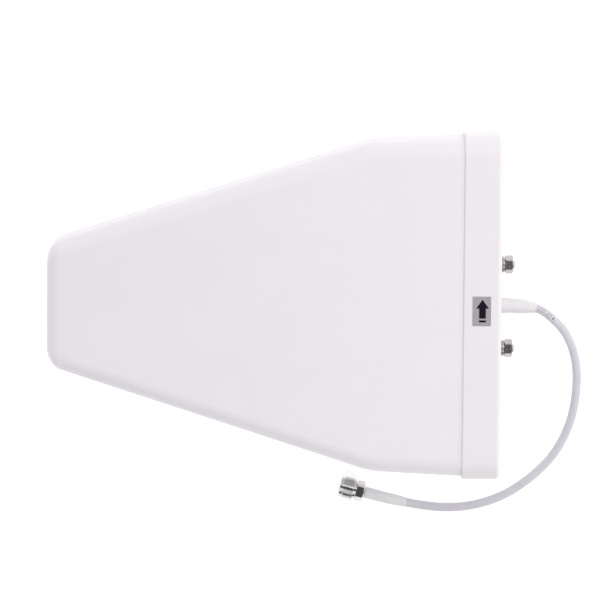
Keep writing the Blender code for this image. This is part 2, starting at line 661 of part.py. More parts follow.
def build_label():
    top = CAP_DEPTH - 0.05 * MM
    low = (LABEL_X - LABEL_SIZE[0] / 2, LABEL_Y - LABEL_SIZE[1] / 2, top - 0.25 * MM)
    high = (LABEL_X + LABEL_SIZE[0] / 2, LABEL_Y + LABEL_SIZE[1] / 2, top)
    add_piece("polarity_label", box(low, high), MATERIALS["label_grey"])


clear_scene()
MATERIALS = {
    name: make_material(name, *values)
    for name, values in {
        "tool": ((0.8, 0.1, 0.1), 0.5),
        "white_abs": ((0.84, 0.83, 0.85), 0.42),
        "white_abs_cap": ((0.87, 0.85, 0.88), 0.38),
        "rubber": ((0.03, 0.03, 0.03), 0.85),
        "steel": ((0.55, 0.55, 0.55), 0.35, 1.0),
        "zinc_steel": ((0.6, 0.61, 0.62), 0.45, 1.0),
        "nickel": ((0.66, 0.64, 0.6), 0.25, 1.0),
        "aluminium": ((0.75, 0.76, 0.77), 0.4, 1.0),
        "aluminium_rod": ((0.78, 0.79, 0.8), 0.3, 1.0),
        "nylon": ((0.75, 0.74, 0.7), 0.6),
        "white_pvc": ((0.82, 0.81, 0.84), 0.5),
        "white_cable": ((0.8, 0.79, 0.84), 0.45),
        "black_coax": ((0.04, 0.04, 0.04), 0.5),
        "copper": ((0.72, 0.43, 0.28), 0.35, 1.0),
        "foam": ((0.85, 0.85, 0.82), 0.95),
        "chrome": ((0.72, 0.71, 0.69), 0.16, 1.0),
        "ptfe": ((0.88, 0.88, 0.86), 0.5),
        "gold": ((0.85, 0.65, 0.28), 0.25, 1.0),
        "white_shrink": ((0.83, 0.82, 0.86), 0.55),
        "label_grey": ((0.38, 0.36, 0.39), 0.5),
    }.items()
}
build_radome()
build_cap()
build_gasket()
build_cap_screws()
build_booms()
build_boom_clips()
build_mounting_plate()
build_boom_screws()
for number, stud_y in enumerate(STUDS_Y, start=1):
    build_stud_set(number, stud_y)
build_lead()
build_feed_link()
build_front_support()
build_jack()
build_label()
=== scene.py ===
"""Looks of the flat log-periodic panel antenna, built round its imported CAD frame.

The antenna lies on its broad face. It looks along -X, its studs point along +X, and +Y is the side that
the polarity arrow names. Everything is in metres, in the CAD's own frame.
"""

import json
import math

import bmesh
import bpy
from mathutils import Matrix, Vector


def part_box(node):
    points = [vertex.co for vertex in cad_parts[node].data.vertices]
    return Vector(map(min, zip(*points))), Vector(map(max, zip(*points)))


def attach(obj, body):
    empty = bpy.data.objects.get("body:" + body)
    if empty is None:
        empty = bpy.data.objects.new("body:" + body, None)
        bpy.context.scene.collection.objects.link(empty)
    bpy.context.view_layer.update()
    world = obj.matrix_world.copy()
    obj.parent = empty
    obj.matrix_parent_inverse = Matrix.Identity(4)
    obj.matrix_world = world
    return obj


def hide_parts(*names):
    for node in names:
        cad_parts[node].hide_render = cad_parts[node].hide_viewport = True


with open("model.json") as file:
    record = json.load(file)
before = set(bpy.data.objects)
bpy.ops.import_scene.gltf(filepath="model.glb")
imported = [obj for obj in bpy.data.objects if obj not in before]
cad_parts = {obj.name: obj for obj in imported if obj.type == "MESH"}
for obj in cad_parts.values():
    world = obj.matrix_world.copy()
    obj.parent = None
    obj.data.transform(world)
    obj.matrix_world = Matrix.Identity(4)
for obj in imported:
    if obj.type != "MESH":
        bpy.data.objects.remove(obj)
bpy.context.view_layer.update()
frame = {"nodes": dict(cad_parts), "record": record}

MM = 0.001

# Places read from the frame
TIP_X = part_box("radome_shell")[0].x
SEAM_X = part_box("rear_cap")[0].x
REAR_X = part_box("rear_cap")[1].x
CAP_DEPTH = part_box("rear_cap")[1].z
CAP_HALF_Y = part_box("rear_cap")[1].y
MID_Z = CAP_DEPTH / 2

# Radome, as in the CAD
RADOME_WALL = 3 * MM
TIP_HALF_Y = 42.7 * MM
TAPER = 0.3212
BREAK_X = TIP_X + 226 * MM
BREAK_R = 60 * MM
SEAM_HALF_Y = 118.4 * MM
SEAM_HALF_Z = 31 * MM
TIP_HALF_Z = 29.4 * MM
RADOME_CORNER_R = 12.5 * MM
TIP_CORNER_R = 16 * MM
TIP_EDGE_R = 9 * MM
SEAM_GROOVE = 1.4 * MM
SEAM_SHOULDER = 0.12 * MM
SKIN_LIP_R = 0.35 * MM
SPIGOT = (118 * MM, 29.2 * MM, 12.2 * MM)
RADOME_END_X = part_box("radome_shell")[1].x
BOSS_R = 4.5 * MM
BOSS_LENGTH = 18 * MM
PILOT_R = 1.8 * MM

# Cap
CAP_WALL = 2.4 * MM
CAP_REAR_WALL = 4 * MM
CAP_CORNER_R = 14.5 * MM
CAP_EDGE_R = 3 * MM
SCREW_Y = 109.3 * MM
SCREW_Z = 22 * MM
SCREW_RECESS = 2.6 * MM
SCREW_HEAD_R = 3 * MM
SCREW_HEAD = 2.1 * MM
CAP_LIP_R = 0.95 * MM
CABLE_HOLE_R = 5.3 * MM

# 1/4-20 studs and what is on them
STUD_R = 3.12 * MM
STUD_ROOT_R = 2.5 * MM
STUD_PITCH = 1.27 * MM
STUD_HEAD = 4 * MM
STUD_HOLE_R = 3.5 * MM
SPOT_FACE_R = 7.6 * MM
SPOT_FACE = 0.2 * MM
SEAL_POCKET_R = 5.6 * MM
SEAL_POCKET = 1.2 * MM
WASHER_BORE_R = 3.45 * MM
WASHER_R = 6.35 * MM
SPRING_R = 5.7 * MM
NUT_FLATS = 11.1 * MM
NUT_FACE_R = 5.4 * MM
NUT_BORE_R = 3.22 * MM

# Lead: the centreline of the boot and of the cable, from part.py
BOOT_ROUTE = ((153.4, -0.24, 32), (161.2, -0.33, 32), (168.16, -0.83, 31.9), (173.13, -1.33, 31.8))
CABLE_ROUTE = (
    (178.29, -2.13, 31.6), (184.73, -5.11, 31.1), (191.43, -10.67, 29.9), (198.29, -18.12, 28.2),
    (203.14, -27.05, 26.2), (206.46, -36.95, 23.4), (208.16, -47.82, 20.2), (208.36, -59.66, 16.6),
    (207.27, -71.97, 13), (204.49, -85.24, 9.4), (199.58, -98, 6.5), (193.05, -109.29, 4.6),
    (184.59, -119.11, 3.6), (173.2, -128.94, 3.35), (159.86, -137.59, 3.35), (145.05, -143.59, 3.35),
    (129.27, -146.93, 3.4), (113.51, -147.33, 3.8), (98.74, -145.59, 4.9), (85.36, -142.89, 6.7),
    (73.15, -139.88, 8), (65.26, -137.87, 8.2), (59.93, -136.54, 8.2),
)
CABLE_R = 3.05 * MM
PATH_STEP = 0.5  # mm between the points of the lead's path
BOOT_FLANGE = 1.5 * MM
BOOT_FLANGE_R = 6.4 * MM
BOOT_NECK_R = 4.9 * MM
JACK_MOUTH = Vector((42.37, -132.11, 8.2)) * MM
JACK_ANGLE = math.radians(-14.1)

# The studio's brightness across the object, from the near horizon (0) over the top (0.5) to the far one (1)
WORLD_BANDS = (
    (0.0, 0.08), (0.055, 0.1), (0.085, 0.72), (0.31, 0.72), (0.35, 0.06), (0.58, 0.06), (0.62, 0.95),
    (0.8, 0.95), (0.84, 0.62), (1.0, 0.62),
)
WORLD_ENDS = (0.52, 0.66)  # towards -X and +X
WORLD_STRENGTH = 1.58

# Camera and light


def make_camera():
    """The photograph's view: from 3.5 m above, tilted 6 degrees off the vertical, with a slight roll."""
    aim = Vector((13.1, 2.4, 32)) * MM
    distance = 3.5
    seen_width = 420.3 * MM
    tilt = math.radians(6)
    roll = math.radians(0.42)
    back = Vector((0, math.sin(tilt), math.cos(tilt)))
    up = Vector((0, math.cos(tilt), -math.sin(tilt)))
    right = Vector((1, 0, 0))
    turned_right = right * math.cos(roll) + up * math.sin(roll)
    turned_up = up * math.cos(roll) - right * math.sin(roll)
    data = bpy.data.cameras.new("camera")
    data.sensor_width = 36
    data.lens = data.sensor_width * distance / seen_width
    camera = bpy.data.objects.new("camera", data)
    axes = Matrix((turned_right, turned_up, back)).transposed().to_4x4()
    camera.matrix_world = Matrix.Translation(aim + back * distance) @ axes
    bpy.context.collection.objects.link(camera)
    bpy.context.scene.camera = camera


def make_area_light(name, place, size, power):
    data = bpy.data.lights.new(name, "AREA")
    data.shape = "DISK"
    data.size = size
    data.energy = power
    light = bpy.data.objects.new(name, data)
    light.location = place
    light.rotation_euler = (-Vector(place)).to_track_quat("-Z", "Y").to_euler()
    bpy.context.collection.objects.link(light)


def make_world():
    """Soft boxes either side of a dark strip over the object, and plain grey towards its two ends."""
    world = bpy.data.worlds.new("studio")
    world.use_nodes = True
    bpy.context.scene.world = world
    graph = Graph(world.node_tree)
    direction = graph.add("ShaderNodeTexCoord").outputs["Generated"]
    across = graph.map_range(graph.dot(direction, (0, 0.9945, -0.105)), -1, 1, 0, 1)
    bands = graph.add("ShaderNodeValToRGB")
    graph.link(across, bands.inputs["Fac"])
    ramp = bands.color_ramp
    ramp.elements.remove(ramp.elements[1])
    for i, (place, level) in enumerate(WORLD_BANDS):
        element = ramp.elements[0] if i == 0 else ramp.elements.new(place)
        element.position = place
        element.color = (level, level, level, 1)
    along = graph.dot(direction, (1, 0, 0))
    beyond = graph.add("ShaderNodeMath", operation="ABSOLUTE")
    graph.link(along, beyond.inputs[0])
    open_ends = graph.add("ShaderNodeMix", data_type="FLOAT")
    graph.link(graph.map_range(beyond.outputs["Value"], 0.6, 0.8, 0, 1), open_ends.inputs["Factor"])
    graph.link(bands.outputs["Color"], open_ends.inputs["A"])
    graph.link(graph.map_range(along, -0.5, 0.5, *WORLD_ENDS), open_ends.inputs["B"])
    strength = graph.add("ShaderNodeMath", operation="MULTIPLY")
    graph.link(open_ends.outputs["Result"], strength.inputs[0])
    strength.inputs[1].default_value = WORLD_STRENGTH
    background = world.node_tree.nodes["Background"]
    background.inputs["Color"].default_value = (1, 0.995, 1, 1)
    graph.link(strength.outputs["Value"], background.inputs["Strength"])


def make_floor():
    bpy.ops.mesh.primitive_plane_add(size=60, location=(0, 0, -0.2 * MM))
    floor = bpy.context.object
    floor.name = "floor"
    material = bpy.data.materials.new("floor")
    material.use_nodes = True
    shader = material.node_tree.nodes["Principled BSDF"]
    shader.inputs["Base Color"].default_value = (0.55, 0.55, 0.55, 1)
    shader.inputs["Roughness"].default_value = 0.9
    shader.inputs["Specular IOR Level"].default_value = 0.1
    shader.inputs["Emission Color"].default_value = (1, 1, 1, 1)
    shader.inputs["Emission Strength"].default_value = 0.68
    floor.data.materials.append(material)


# Materials


class Graph:
    """Short names for the nodes that the materials use."""

    def __init__(self, tree):
        self.tree = tree

    def add(self, kind, **settings):
        node = self.tree.nodes.new(kind)
        for name, value in settings.items():
            setattr(node, name, value)
        return node

    def link(self, source, target):
        self.tree.links.new(source, target)

    def dot(self, source, vector):
        node = self.add("ShaderNodeVectorMath", operation="DOT_PRODUCT")
        self.link(source, node.inputs[0])
        node.inputs[1].default_value = Vector(vector).normalized()
        return node.outputs["Value"]

    def map_range(self, source, low, high, to_low, to_high):
        node = self.add("ShaderNodeMapRange")
        self.link(source, node.inputs["Value"])
        for name, value in zip(("From Min", "From Max", "To Min", "To Max"), (low, high, to_low, to_high)):
            node.inputs[name].default_value = value
        return node.outputs["Result"]

    def noise(self, place, size, stretch=(1, 1, 1), detail=3.0):
        """Noise whose blotches are about size across, drawn out along an axis where stretch is above 1."""
        mapping = self.add("ShaderNodeMapping")
        mapping.inputs["Scale"].default_value = [1 / size / s for s in stretch]
        self.link(place, mapping.inputs["Vector"])
        node = self.add("ShaderNodeTexNoise")
        node.inputs["Scale"].default_value = 1.0
        node.inputs["Detail"].default_value = detail
        self.link(mapping.outputs["Vector"], node.inputs["Vector"])
        return node.outputs["Fac"]


def make_surface(name, colour, roughness, metallic=0.0, grain=0.5, depth=0.01, stretch=(1, 1, 1),
                 mottle=0.02, mottle_size=30, rough_change=0.06, sockets=None):
    """A procedural finish: fine relief, slow changes of colour and patchy gloss. Sizes are in millimetres."""
    made = bpy.data.materials.new(name)
    made.use_nodes = True
    made.diffuse_color = (*colour, 1)
    shader = made.node_tree.nodes["Principled BSDF"]
    shader.inputs["Metallic"].default_value = metallic
    for socket, value in (sockets or {}).items():
        shader.inputs[socket].default_value = value
    graph = Graph(made.node_tree)
    place = graph.add("ShaderNodeTexCoord").outputs["Object"]

    mix = graph.add("ShaderNodeMix", data_type="RGBA")
    dark = [value * (1 - mottle) for value in colour]
    light = [min(1, value * (1 + mottle)) for value in colour]
    mix.inputs["A"].default_value = (*dark, 1)
    mix.inputs["B"].default_value = (*light, 1)
    patches = graph.noise(place, mottle_size * MM, detail=5)
    graph.link(graph.map_range(patches, 0.3, 0.7, 0, 1), mix.inputs["Factor"])
    graph.link(mix.outputs["Result"], shader.inputs["Base Color"])

    gloss = graph.noise(place, mottle_size * MM / 4, stretch, detail=6)
    wanted = graph.map_range(gloss, 0.3, 0.7, roughness - rough_change, roughness + rough_change)
    graph.link(wanted, shader.inputs["Roughness"])

    bump = graph.add("ShaderNodeBump")
    bump.inputs["Strength"].default_value = 1.0
    bump.inputs["Distance"].default_value = depth * MM
    graph.link(graph.noise(place, grain * MM, stretch), bump.inputs["Height"])
    graph.link(bump.outputs["Normal"], shader.inputs["Normal"])
    return made


def make_materials():
    soft_gloss = {"Specular IOR Level": 0.4}
    turned_marks = {"stretch": (1, 30, 30), "grain": 0.12}
    return {
        "white_abs": make_surface("white_abs", (0.755, 0.727, 0.767), 0.44, grain=0.45, depth=0.012,
                                  mottle=0.008, mottle_size=60, sockets=soft_gloss),
        "white_abs_cap": make_surface("white_abs_cap", (0.75, 0.718, 0.742), 0.42, grain=0.45, depth=0.012,
                                      mottle=0.008, mottle_size=50, sockets=soft_gloss),
        "rubber": make_surface("rubber", (0.03, 0.03, 0.03), 0.8, grain=0.3, depth=0.02, mottle=0.2,
                               mottle_size=8),
        "steel": make_surface("steel", (0.56, 0.55, 0.54), 0.3, 1.0, depth=0.006, mottle=0.05,
                              mottle_size=6, **turned_marks),
        "zinc_steel": make_surface("zinc_steel", (0.6, 0.61, 0.62), 0.42, 1.0, grain=1.5, depth=0.01,
                                   mottle=0.12, mottle_size=7, rough_change=0.12),
        "nickel": make_surface("nickel", (0.45, 0.435, 0.43), 0.2, 1.0, grain=0.25, depth=0.0012,
                               mottle=0.05, mottle_size=4, rough_change=0.05),
        "aluminium": make_surface("aluminium", (0.75, 0.76, 0.77), 0.36, 1.0, grain=0.2, depth=0.006,
                                  stretch=(40, 1, 1), mottle=0.05, mottle_size=12, rough_change=0.1),
        "aluminium_rod": make_surface("aluminium_rod", (0.78, 0.79, 0.8), 0.28, 1.0, grain=0.2, depth=0.005,
                                      stretch=(1, 40, 1), mottle=0.05, mottle_size=10),
        "nylon": make_surface("nylon", (0.72, 0.7, 0.62), 0.5, grain=0.6, depth=0.02, mottle=0.04,
                              mottle_size=8, sockets={"Subsurface Weight": 0.2, "Subsurface Scale": 0.002}),
        "white_pvc": make_surface("white_pvc", (0.69, 0.675, 0.69), 0.46, grain=0.35, depth=0.01,
                                  mottle=0.015, mottle_size=12, sockets=soft_gloss),
        "white_cable": make_surface("white_cable", (0.57, 0.55, 0.6), 0.45, grain=0.3, depth=0.012,
                                    stretch=(3, 3, 1), mottle=0.03, mottle_size=9, sockets=soft_gloss),
        "black_coax": make_surface("black_coax", (0.03, 0.03, 0.032), 0.45, grain=0.3, depth=0.01,
                                   mottle=0.1, mottle_size=9),
        "copper": make_surface("copper", (0.72, 0.42, 0.28), 0.3, 1.0, grain=0.2, depth=0.006,
                               mottle=0.15, mottle_size=4, rough_change=0.1),
        "foam": make_surface("foam", (0.82, 0.82, 0.78), 0.9, grain=1.2, depth=0.25, mottle=0.05,
                             mottle_size=3),
        "chrome": make_surface("chrome", (0.64, 0.635, 0.63), 0.06, 1.0, depth=0.0006, mottle=0.04,
                               mottle_size=5, rough_change=0.02, **turned_marks),
        "ptfe": make_surface("ptfe", (0.86, 0.86, 0.84), 0.45, grain=0.3, depth=0.008, mottle=0.02,
                             mottle_size=3, sockets={"Subsurface Weight": 0.3, "Subsurface Scale": 0.001}),
        "gold": make_surface("gold", (0.86, 0.64, 0.26), 0.22, 1.0, depth=0.003, mottle=0.06,
                             mottle_size=2, **turned_marks),
        "white_shrink": make_surface("white_shrink", (0.7, 0.698, 0.705), 0.5, grain=0.8, depth=0.03,
                                     mottle=0.02, mottle_size=8, sockets=soft_gloss),
        "label_grey": make_surface("label_grey", (0.33, 0.305, 0.34), 0.5, grain=0.25, depth=0.008,
                                   mottle=0.06, mottle_size=1.2),
        "print_black": make_surface("print_black", (0.007, 0.005, 0.011), 0.6, grain=0.2, depth=0.003,
                                    mottle=0.2, mottle_size=2, sockets={"Specular IOR Level": 0.1}),
        "print_grey": make_surface("print_grey", (0.25, 0.24, 0.29), 0.5, grain=0.2, depth=0.003,
                                   mottle=0.2, mottle_size=1),
    }


# Shapes


def loft(loops, ring=False, into=None):
    """A closed body through loops of equally many points: capped at both ends, or joined into a ring."""
    shape = into or bmesh.new()
    rows = [[shape.verts.new(point) for point in loop] for loop in loops]
    pairs = list(zip(rows, rows[1:]))
    if ring:
        pairs.append((rows[-1], rows[0]))
    else:
        shape.faces.new(reversed(rows[0]))
        shape.faces.new(rows[-1])
    for first, second in pairs:
        for i in range(len(first)):
            j = (i + 1) % len(first)
            shape.faces.new((first[i], first[j], second[j], second[i]))
    return shape


def circle_loop(x, radius, sides, y=0.0, z=0.0):
    turns = (2 * math.pi * i / sides for i in range(sides))
    return [Vector((x, y + radius * math.cos(a), z + radius * math.sin(a))) for a in turns]


def hex_loop(x, flats, sides, corner_r=1.0, y=0.0, z=0.0):
    """A hexagon with a flat at the top, trimmed to a circle of corner_r, as a nut's chamfer does."""
    points = []
    for i in range(sides):
        angle = 2 * math.pi * i / sides
        off = (angle - math.pi / 2 + math.pi / 6) % (math.pi / 3) - math.pi / 6
        radius = min(flats / 2 / math.cos(off), corner_r)
        points.append(Vector((x, y + radius * math.cos(angle), z + radius * math.sin(angle))))
    return points


def turned(profile, sides, ring=False, y=0.0, z=0.0, into=None):
    """A body turned about the X axis through (y, z), from (x, radius) points."""
    return loft([circle_loop(x, r, sides, y, z) for x, r in profile], ring, into)


def soften(profile, reach, steps=3, closed=True):
    """The same outline with each corner rounded off, starting reach away from it."""
    points = [Vector(point) for point in profile]
    softened = []
    for i, corner in enumerate(points):
        if not closed and i in (0, len(points) - 1):
            softened.append(corner)
            continue
        before, after = points[i - 1], points[(i + 1) % len(points)]
        start = corner + (before - corner) * min(0.45, reach / (before - corner).length)
        end = corner + (after - corner) * min(0.45, reach / (after - corner).length)
        for k in range(steps + 1):
            t = k / steps
            softened.append(start * (1 - t) ** 2 + corner * 2 * t * (1 - t) + end * t**2)
    return softened


def rounded_loop(x, half_y, half_z, radius, steps=10):
    """A rounded rectangle across the X axis, centred on the antenna's mid-plane."""
    points = []
    for quarter in range(4):
        side_y = 1 if quarter in (0, 3) else -1
        side_z = 1 if quarter in (0, 1) else -1
        for i in range(steps + 1):
            angle = math.pi / 2 * (quarter + i / steps)
            points.append(Vector((
                x,
                side_y * (half_y - radius) + radius * math.cos(angle),
                MID_Z + side_z * (half_z - radius) + radius * math.sin(angle),
            )))
    return points


def thread_loops(start, end, major, minor, pitch, sides, y=0.0, z=0.0, crest=1 / 8):
    """Loops of a right-hand screw thread along X."""
    rows = round((end - start) / pitch * 12)
    loops = []
    for i in range(rows + 1):
        x = start + (end - start) * i / rows
        loop = []
        for k in range(sides):
            angle = 2 * math.pi * k / sides
            phase = abs((x / pitch - k / sides) % 1 - 0.5)
            height = min(1, max(0, (0.4375 - phase) / (0.4375 - crest / 2)))
            radius = minor + (major - minor) * height
            loop.append(Vector((x, y + radius * math.cos(angle), z + radius * math.sin(angle))))
        loops.append(loop)
    return loops


def along_curve(points, step):
    """Points every step along a smooth curve through the given points."""
    fine = []
    ends = [points[0] * 2 - points[1]] + list(points) + [points[-1] * 2 - points[-2]]
    for a, b, c, d in zip(ends, ends[1:], ends[2:], ends[3:]):
        for i in range(12):
            t = i / 12
            fine.append(0.5 * (2 * b + (c - a) * t + (2 * a - 5 * b + 4 * c - d) * t**2
                               + (3 * b - a - 3 * c + d) * t**3))
    fine.append(points[-1])
    total = sum((q - p).length for p, q in zip(fine, fine[1:]))
    count = round(total / step)
    spaced = [fine[0]]
    walked = 0.0
    for p, q in zip(fine, fine[1:]):
        length = (q - p).length
        while len(spaced) < count and walked + length >= len(spaced) * total / count:
            spaced.append(p.lerp(q, (len(spaced) * total / count - walked) / length))
        walked += length
    spaced.append(fine[-1])
    return spaced


def path_frame(points, i):
    """The directions across and up at a point of a path."""
    along = (points[min(i + 1, len(points) - 1)] - points[max(i - 1, 0)]).normalized()
    across = along.cross(Vector((0, 0, 1))).normalized()
    return across, across.cross(along)


def swept_loops(points, radii, sides=40):
    """Circles across a path at each of its points."""
    loops = []
    for i, (point, radius) in enumerate(zip(points, radii)):
        across, up = path_frame(points, i)
        turns = (2 * math.pi * k / sides for k in range(sides))
        loops.append([point + (across * math.cos(a) + up * math.sin(a)) * radius for a in turns])
    return loops


def slab(outline, low_z, high_z, into=None):
    """A flat plate with the given outline of (x, y) points."""
    return loft([[Vector((x, y, z)) for x, y in outline] for z in (low_z, high_z)], into=into)


def to_mesh(name, shape):
    bmesh.ops.recalc_face_normals(shape, faces=shape.faces)
    mesh = bpy.data.meshes.new(name)
    shape.to_mesh(mesh)
    shape.free()
    return mesh


def carve(piece, shape, operation="DIFFERENCE"):
    """Cuts a shape out of a piece, or joins it on, and keeps only the result."""
    tool = bpy.data.objects.new("tool", to_mesh("tool", shape))
    bpy.context.collection.objects.link(tool)
    boolean = piece.modifiers.new("carve", "BOOLEAN")
    boolean.operation = operation
    boolean.solver = "EXACT"
    boolean.object = tool
    seen = piece.evaluated_get(bpy.context.evaluated_depsgraph_get())
    result = bpy.data.meshes.new_from_object(seen)
    piece.modifiers.clear()
    piece.data = result
    bpy.data.objects.remove(tool, do_unlink=True)


def add_piece(name, shape, slot, body="antenna", nodes=(), material=None, cuts=(), jack=False, sharp=32):
    """A finished piece: carved, shaded, given its material, and riding on its body."""
    mesh = to_mesh(name, shape)
    piece = bpy.data.objects.new(name, mesh)
    bpy.context.collection.objects.link(piece)
    for operation, cut in cuts:
        carve(piece, cut, operation)
    piece.data.name = name
    piece.data.shade_smooth()
    piece.data.set_sharp_from_angle(angle=math.radians(sharp))
    piece.data.materials.clear()
    piece.data.materials.append(MATERIALS[material or slot])
    if jack:
        piece.location = JACK_MOUTH
        piece.rotation_euler = (0, 0, JACK_ANGLE)
    weighted = piece.modifiers.new("weighted_normals", "WEIGHTED_NORMAL")
    weighted.keep_sharp = True
    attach(piece, body)
    if nodes:
        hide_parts(*nodes)
    return piece


# Housing


def radome_stations(inset, arc_steps=18):
    """Half sizes of the radome along X, as (x, half_y, half_z, corner radius), set in by a wall."""
    lean = math.atan(TAPER)
    break_y = TIP_HALF_Y + TAPER * (BREAK_X - TIP_X)
    rear_slope = (SEAM_HALF_Y - break_y) / (SEAM_X - BREAK_X)
    reach = BREAK_R * math.tan((lean - math.atan(rear_slope)) / 2)

    def taper_y(x):
        return TIP_HALF_Y + TAPER * (x - TIP_X) - inset / math.cos(lean)

    def half_z(x):
        full = SEAM_HALF_Z + (TIP_HALF_Z - SEAM_HALF_Z) * (SEAM_X - x) / (SEAM_X - TIP_X)
        edge = TIP_EDGE_R - inset
        into_edge = edge - (x - TIP_X - inset)
        rounding = edge - math.sqrt(max(0, edge**2 - into_edge**2)) if into_edge > 0 else 0
        return full - inset - rounding

    start = TIP_X + inset
    corner = TIP_CORNER_R - inset
    centre_x = start + corner
    centre_y = taper_y(centre_x) - corner / math.cos(lean)
    stations = []
    for i in range(arc_steps + 1):
        angle = (math.pi / 2 - lean) * i / arc_steps
        stations.append((centre_x - corner * math.cos(angle), centre_y + corner * math.sin(angle)))
    for i in range(13):
        along = -reach + 2 * reach * i / 12
        rise = TAPER * along if along < 0 else rear_slope * along
        sag = (reach - abs(along)) ** 2 * (TAPER - rear_slope) / (4 * reach)
        stations.append((BREAK_X + along, break_y - inset / math.cos(lean) + rise - sag))
    stations.append((SEAM_X - SEAM_GROOVE, SEAM_HALF_Y - inset))
    full_corner = RADOME_CORNER_R - inset
    ease = 12 * MM
    return [
        (x, y, half_z(x), full_corner * (0.7 + 0.3 * min(1, (x - start) / ease)))
        for x, y in stations
    ]


def edge_loops(x, half_y, half_z, corner_r, edge_r, towards, steps=4):
    """Loops round a lip's edge, from the side wall to the end face at x; towards is the way the end faces."""
    loops = []
    for i in range(steps + 1):
        angle = math.pi / 2 * i / steps
        inset = edge_r * (1 - math.cos(angle))
        at = x - towards * edge_r * (1 - math.sin(angle))
        loops.append(rounded_loop(at, half_y - inset, half_z - inset, corner_r - inset))
    return loops


def screw_places():
    return [(side * SCREW_Y, MID_Z + level * SCREW_Z) for side in (1, -1) for level in (1, -1)]


def build_radome():
    stations = radome_stations(0)
    skin_end_x, end_y, end_z, end_r = stations[-1]
    outer = [rounded_loop(*station) for station in stations[:-1]]
    lip = edge_loops(skin_end_x, end_y, end_z, end_r, SKIN_LIP_R, 1)[:-1]
    inner = [rounded_loop(*station) for station in radome_stations(RADOME_WALL)]
    bore = [size - RADOME_WALL for size in SPIGOT]
    shoulder = [size - SEAM_SHOULDER for size in (SEAM_HALF_Y, SEAM_HALF_Z, RADOME_CORNER_R)]
    shoulder_end = SEAM_X - 0.02 * MM
    spigot_root = [rounded_loop(shoulder_end, *SPIGOT), rounded_loop(shoulder_end, *shoulder),
                   rounded_loop(skin_end_x, *shoulder)]
    spigot_end = edge_loops(RADOME_END_X, *SPIGOT, 0.6 * MM, 1)
    bore_loops = [rounded_loop(x, *bore) for x in (skin_end_x + 0.1 * MM, RADOME_END_X)]
    shape = loft(inner + bore_loops + spigot_end[::-1] + spigot_root + lip[::-1] + outer[::-1])
    bosses = bmesh.new()
    pilots = bmesh.new()
    boss_x = RADOME_END_X - BOSS_LENGTH
    for y, z in screw_places():
        turned(((boss_x, BOSS_R), (RADOME_END_X - 0.05 * MM, BOSS_R)), 40, False, y, z, bosses)
        turned(((boss_x + 4 * MM, PILOT_R), (RADOME_END_X + MM, PILOT_R)), 32, False, y, z, pilots)
    cuts = (("UNION", bosses), ("DIFFERENCE", pilots))
    add_piece("radome_skin", shape, "white_abs", nodes=("radome_shell",), cuts=cuts)


def build_cap():
    inner = (CAP_HALF_Y - CAP_WALL, CAP_DEPTH / 2 - CAP_WALL, CAP_CORNER_R - CAP_WALL)
    outer = (CAP_HALF_Y, CAP_DEPTH / 2, CAP_CORNER_R)
    inner_x = REAR_X - CAP_REAR_WALL
    loops = edge_loops(inner_x, *inner, 1 * MM, 1)[::-1]
    loops.append(rounded_loop(SEAM_X, *inner))
    loops += edge_loops(SEAM_X, *outer, CAP_LIP_R, -1)[::-1]
    loops += edge_loops(REAR_X, *outer, CAP_EDGE_R, 1, steps=10)
    holes = bmesh.new()
    beyond = REAR_X + 2 * MM
    inside = inner_x - 2 * MM
    pocket_x = inner_x + SEAL_POCKET
    spot_x = REAR_X - SPOT_FACE
    profile = ((inside, SEAL_POCKET_R), (pocket_x, SEAL_POCKET_R), (pocket_x, STUD_HOLE_R),
               (spot_x, STUD_HOLE_R), (spot_x, SPOT_FACE_R), (beyond, SPOT_FACE_R))
    for number in (1, 2):
        low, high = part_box(f"mount_stud_{number}")
        turned(profile, 64, False, (low.y + high.y) / 2, MID_Z, holes)
    ease = 0.5 * MM
    mouth = ((inside, CABLE_HOLE_R), (REAR_X - ease, CABLE_HOLE_R), (REAR_X + ease, CABLE_HOLE_R + 2 * ease),
             (beyond, CABLE_HOLE_R + 2 * ease))
    turned(mouth, 64, False, 0, MID_Z, holes)
    ease = 0.4 * MM
    head_x = REAR_X - SCREW_RECESS
    head_r = SCREW_HEAD_R + 0.3 * MM
    profile = ((inside, PILOT_R), (head_x, PILOT_R), (head_x, head_r), (REAR_X - ease, head_r),
               (REAR_X + ease, head_r + 2 * ease), (beyond, head_r + 2 * ease))
    for y, z in screw_places():
        turned(profile, 48, False, y, z, holes)
    low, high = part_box("polarity_label")
    recess = rounded_outline(low, high, 0.15 * MM, 0.4 * MM)
    pocket = slab(recess, CAP_DEPTH - 0.4 * MM, CAP_DEPTH + MM)
    cuts = (("DIFFERENCE", holes), ("DIFFERENCE", pocket))
    add_piece("cap_skin", loft(loops), "white_abs_cap", nodes=("rear_cap",), cuts=cuts)


def rounded_outline(low, high, grow, radius, steps=6):
    """A rounded rectangle of (x, y) points round a box's plan, grown on all sides."""
    points = []
    for quarter, (x, y) in enumerate(((high.x, high.y), (low.x, high.y), (low.x, low.y), (high.x, low.y))):
        sign_x = 1 if quarter in (0, 3) else -1
        sign_y = 1 if quarter in (0, 1) else -1
        for i in range(steps + 1):
            angle = math.pi / 2 * (quarter + i / steps)
            points.append((x + sign_x * (grow - radius) + radius * math.cos(angle),
                           y + sign_y * (grow - radius) + radius * math.sin(angle)))
    return points


